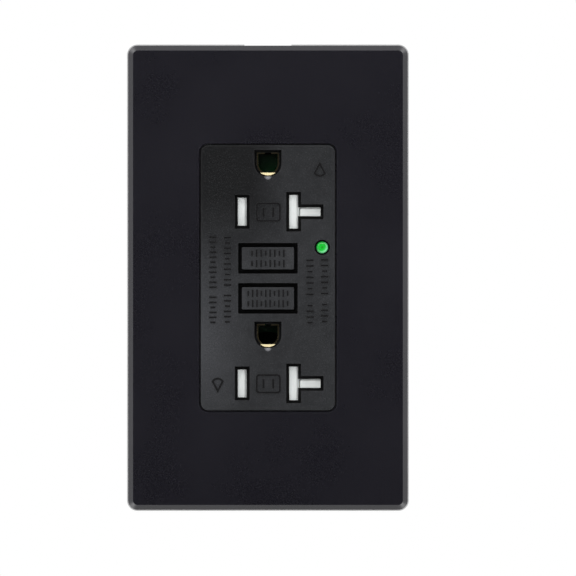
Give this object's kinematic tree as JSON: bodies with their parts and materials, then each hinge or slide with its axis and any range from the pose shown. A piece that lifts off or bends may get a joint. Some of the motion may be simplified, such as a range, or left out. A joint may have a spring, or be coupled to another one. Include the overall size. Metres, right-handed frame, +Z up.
{
  "type": "ground-fault receptacle with wall plate",
  "caption": "Wall-mounted duplex receptacle with test and reset buttons, indicator light and shuttered slots, behind a screwless clip-on plate.",
  "frame": {"origin": "on the wall plane, at the back face of the mounting strap, halfway between the two box screws", "axes": "+X to the right seen from the room, +Z up, +Y into the wall"},
  "size_m": [0.0696, 0.0348, 0.1152],
  "materials": {
    "plate": "satin, near-black",
    "face": "fine matte grain, charcoal",
    "inner_black": "matte black",
    "shutter_white": "satin white",
    "lens": "clear green, lit",
    "carrier_black": "matte black",
    "case_black": "matte black",
    "white_nylon": "matte off-white",
    "brass": "bright brass",
    "silver_plate": "nickel-plated brass",
    "steel": "zinc-plated steel",
    "green_screw": "green dyed zinc",
    "copper": "enamelled copper wire",
    "board": "green solder mask",
    "component_black": "epoxy",
    "component_blue": "epoxy coating",
    "spring_steel": "drawn spring wire"
  },
  "bodies": {
    "receptacle": {"box_screws": "steel", "capacitors": "component_black", "case_screws": "steel", "circuit_board": "board", "contact_carrier": "carrier_black", "control_chip": "component_black", "face_cover": "face", "hot_contact_strip": "brass", "light_pipe": "lens", "line_hot_terminal": "brass", "line_neutral_terminal": "brass", "lower_ground_contact": "brass", "lower_leg_spring": "spring_steel", "lower_shutter_frame": "inner_black", "lower_shutter_spring": "spring_steel", "mounting_strap": "steel", "neutral_coil": "copper", "neutral_contact_strip": "brass", "plate_screws": "steel", "plunger_spring": "spring_steel", "rear_case": "case_black", "reset_spring": "spring_steel", "sense_coil": "copper", "sensor_housing": "inner_black", "solenoid_bobbin": "white_nylon", "solenoid_coil": "copper", "solenoid_frame": "steel", "status_led": "shutter_white", "sub_plate": "inner_black", "upper_ground_contact": "brass", "upper_leg_spring": "spring_steel", "upper_shutter_frame": "inner_black", "upper_shutter_spring": "spring_steel", "varistor": "component_blue"},
    "cover": {"cover_plate": "plate"},
    "test": {"test_button": "face"},
    "leaf": {"test_leaf": "brass"},
    "reset": {"reset_button": "face", "reset_pin": "steel"},
    "plunger": {"solenoid_plunger": "steel"},
    "lifter": {"lifter": "white_nylon"},
    "latch": {"latch_plate": "steel"},
    "hot_arm": {"hot_arm": "brass"},
    "neutral_arm": {"neutral_arm": "brass"},
    "ground_screw": {"ground_screw": "green_screw"},
    "upper_shutter": {"upper_shutter": "shutter_white"},
    "upper_leg_shutter": {"upper_leg_shutter": "shutter_white"},
    "lower_shutter": {"lower_shutter": "shutter_white"},
    "lower_leg_shutter": {"lower_leg_shutter": "shutter_white"},
    "load_hot_screw": {"load_hot_screw": "brass"},
    "load_hot_clamp": {"load_hot_clamp": "steel"},
    "load_neutral_screw": {"load_neutral_screw": "silver_plate"},
    "load_neutral_clamp": {"load_neutral_clamp": "steel"},
    "line_hot_screw": {"line_hot_screw": "brass"},
    "line_hot_clamp": {"line_hot_clamp": "steel"},
    "line_neutral_screw": {"line_neutral_screw": "silver_plate"},
    "line_neutral_clamp": {"line_neutral_clamp": "steel"}
  },
  "joints": [
    {"name": "cover_off", "type": "slide", "parent": "receptacle", "child": "cover", "axis": [0, -1, 0], "range_m": [0, 0.02]},
    {"name": "test_press", "type": "slide", "parent": "receptacle", "child": "test", "axis": [0, 1, 0], "range_m": [0, 0.0015], "stiffness_N_per_m": 900, "springref_m": -0.0004},
    {"name": "test_leaf_bend", "type": "hinge", "parent": "receptacle", "child": "leaf", "pos_m": [-0.0076, 0.0032, 0.0048], "axis": [0, 0, 1], "range_deg": [0, 11.4]},
    {"name": "reset_press", "type": "slide", "parent": "receptacle", "child": "reset", "axis": [0, 1, 0], "range_m": [0, 0.0018], "stiffness_N_per_m": 900, "springref_m": -0.0004, "deforming": ["reset_spring"]},
    {"name": "trip", "type": "slide", "parent": "receptacle", "child": "plunger", "axis": [0, 0, -1], "range_m": [0, 0.002], "stiffness_N_per_m": 60, "springref_m": -0.004, "deforming": ["plunger_spring"]},
    {"name": "lifter_drop", "type": "slide", "parent": "receptacle", "child": "lifter", "axis": [0, 1, 0], "range_m": [0, 0.00121]},
    {"name": "latch_slide", "type": "slide", "parent": "lifter", "child": "latch", "axis": [0, 0, -1], "range_m": [0, 0.002]},
    {"name": "hot_arm_open", "type": "hinge", "parent": "receptacle", "child": "hot_arm", "pos_m": [-0.0077, 0.01205, -0.014], "axis": [-1, 0, 0], "range_deg": [0, 7.8]},
    {"name": "neutral_arm_open", "type": "hinge", "parent": "receptacle", "child": "neutral_arm", "pos_m": [0.0077, 0.01205, -0.014], "axis": [-1, 0, 0], "range_deg": [0, 7.8]},
    {"name": "ground_screw_turn", "type": "hinge", "parent": "receptacle", "child": "ground_screw", "pos_m": [-0.019, 0.007, -0.0286], "axis": [-1, 0, 0], "range_deg": [0, 1080]},
    {"name": "upper_shutter_slide", "type": "slide", "parent": "receptacle", "child": "upper_shutter", "axis": [-1, 0, 0], "range_m": [0, 0.003], "stiffness_N_per_m": 40, "springref_m": -0.002, "deforming": ["upper_shutter_spring"]},
    {"name": "upper_leg_shutter_slide", "type": "slide", "parent": "receptacle", "child": "upper_leg_shutter", "axis": [0, 0, -1], "range_m": [0, 0.0024], "stiffness_N_per_m": 40, "springref_m": -0.002, "deforming": ["upper_leg_spring"]},
    {"name": "lower_shutter_slide", "type": "slide", "parent": "receptacle", "child": "lower_shutter", "axis": [-1, 0, 0], "range_m": [0, 0.003], "stiffness_N_per_m": 40, "springref_m": -0.002, "deforming": ["lower_shutter_spring"]},
    {"name": "lower_leg_shutter_slide", "type": "slide", "parent": "receptacle", "child": "lower_leg_shutter", "axis": [0, 0, -1], "range_m": [0, 0.0024], "stiffness_N_per_m": 40, "springref_m": -0.002, "deforming": ["lower_leg_spring"]},
    {"name": "load_hot_screw_turn", "type": "hinge", "parent": "receptacle", "child": "load_hot_screw", "pos_m": [-0.0173, 0.017, 0.019], "axis": [1, 0, 0], "range_deg": [0, 1080]},
    {"name": "load_hot_clamp_slide", "type": "slide", "parent": "receptacle", "child": "load_hot_clamp", "axis": [-1, 0, 0], "range_m": [0, 0.00238]},
    {"name": "load_neutral_screw_turn", "type": "hinge", "parent": "receptacle", "child": "load_neutral_screw", "pos_m": [0.0173, 0.017, 0.019], "axis": [-1, 0, 0], "range_deg": [0, 1080]},
    {"name": "load_neutral_clamp_slide", "type": "slide", "parent": "receptacle", "child": "load_neutral_clamp", "axis": [1, 0, 0], "range_m": [0, 0.00238]},
    {"name": "line_hot_screw_turn", "type": "hinge", "parent": "receptacle", "child": "line_hot_screw", "pos_m": [-0.0173, 0.017, -0.019], "axis": [1, 0, 0], "range_deg": [0, 1080]},
    {"name": "line_hot_clamp_slide", "type": "slide", "parent": "receptacle", "child": "line_hot_clamp", "axis": [-1, 0, 0], "range_m": [0, 0.00238]},
    {"name": "line_neutral_screw_turn", "type": "hinge", "parent": "receptacle", "child": "line_neutral_screw", "pos_m": [0.0173, 0.017, -0.019], "axis": [-1, 0, 0], "range_deg": [0, 1080]},
    {"name": "line_neutral_clamp_slide", "type": "slide", "parent": "receptacle", "child": "line_neutral_clamp", "axis": [1, 0, 0], "range_m": [0, 0.00238]}
  ],
  "couplings": [
    {"joint": "test_leaf_bend", "follows": "test_press", "rad_per_m": 131.58},
    {"joint": "lifter_drop", "follows": "trip", "ratio": 0.6},
    {"joint": "latch_slide", "follows": "trip", "ratio": 1},
    {"joint": "hot_arm_open", "follows": "trip", "rad_per_m": 67.4},
    {"joint": "neutral_arm_open", "follows": "trip", "rad_per_m": 67.4},
    {"joint": "load_hot_screw_turn", "follows": "load_hot_clamp_slide", "rad_per_m": 7915.8},
    {"joint": "load_neutral_screw_turn", "follows": "load_neutral_clamp_slide", "rad_per_m": 7915.8},
    {"joint": "line_hot_screw_turn", "follows": "line_hot_clamp_slide", "rad_per_m": 7915.8},
    {"joint": "line_neutral_screw_turn", "follows": "line_neutral_clamp_slide", "rad_per_m": 7915.8}
  ]
}
